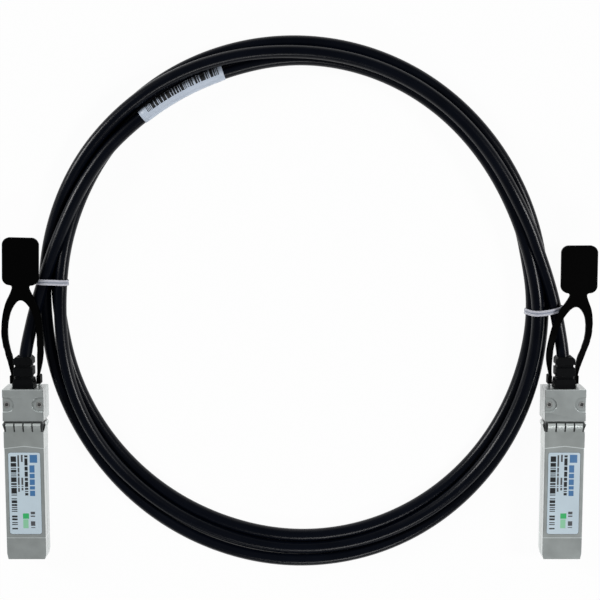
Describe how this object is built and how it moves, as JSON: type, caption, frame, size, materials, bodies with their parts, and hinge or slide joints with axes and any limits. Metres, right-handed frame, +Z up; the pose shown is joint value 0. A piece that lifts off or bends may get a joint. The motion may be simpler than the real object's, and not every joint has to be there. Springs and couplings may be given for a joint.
{
  "type": "direct attach copper cable",
  "caption": "Wound black cable with a metal plug module at each end; a sprung pull tab on each module slides back to release its latch.",
  "frame": {"origin": "middle of the two modules and their tabs, on the surface that they lie on", "axes": "X runs across from the left module to the right one, Y from the mating ends towards the pull tabs, Z up"},
  "size_m": [0.2042, 0.1846, 0.0118],
  "materials": {
    "cast_shell": "satin nickel plate on a casting",
    "spring_sheet": "bright stamped sheet",
    "label_stock": "smooth printed film",
    "board": "green solder mask",
    "gold_plate": "gold plated",
    "chip_resin": "moulded resin",
    "foil_braid": "foil and braid",
    "wire_foil": "smooth",
    "moulded_black": "matte moulded",
    "screw_steel": "machined",
    "tab_plastic": "smooth moulded",
    "cable_jacket": "smooth extruded jacket",
    "tie_plastic": "ribbed film over a wire",
    "sleeve_paper": "smooth printed film"
  },
  "bodies": {
    "cable_and_modules": {"left_bottom_shell": "cast_shell", "left_top_shell": "cast_shell", "left_shield_collar": "spring_sheet", "left_label": "label_stock", "left_circuit_board": "board", "left_contact_pads": "gold_plate", "left_memory_chip": "chip_resin", "left_cable_core": "foil_braid", "left_wire_pairs": "wire_foil", "left_crimp_ferrule": "spring_sheet", "left_boot": "moulded_black", "left_screws": "screw_steel", "left_slider_spring": "screw_steel", "left_tail": "cable_jacket", "left_tie": "tie_plastic", "right_bottom_shell": "cast_shell", "right_top_shell": "cast_shell", "right_shield_collar": "spring_sheet", "right_label": "label_stock", "right_circuit_board": "board", "right_contact_pads": "gold_plate", "right_memory_chip": "chip_resin", "right_cable_core": "foil_braid", "right_wire_pairs": "wire_foil", "right_crimp_ferrule": "spring_sheet", "right_boot": "moulded_black", "right_screws": "screw_steel", "right_slider_spring": "screw_steel", "right_tail": "cable_jacket", "right_tie": "tie_plastic", "cable_coil": "cable_jacket", "cable_label": "sleeve_paper"},
    "left_release": {"left_release_slider": "spring_sheet", "left_pull_tab": "tab_plastic"},
    "right_release": {"right_release_slider": "spring_sheet", "right_pull_tab": "tab_plastic"}
  },
  "joints": [
    {"name": "left_release_pull", "type": "slide", "parent": "cable_and_modules", "child": "left_release", "axis": [0, 1, 0], "range_m": [0, 0.0025], "stiffness_N_per_m": 400, "springref_m": -0.001, "deforming": ["left_slider_spring"]},
    {"name": "right_release_pull", "type": "slide", "parent": "cable_and_modules", "child": "right_release", "axis": [0, 1, 0], "range_m": [0, 0.0025], "stiffness_N_per_m": 400, "springref_m": -0.001, "deforming": ["right_slider_spring"]}
  ]
}
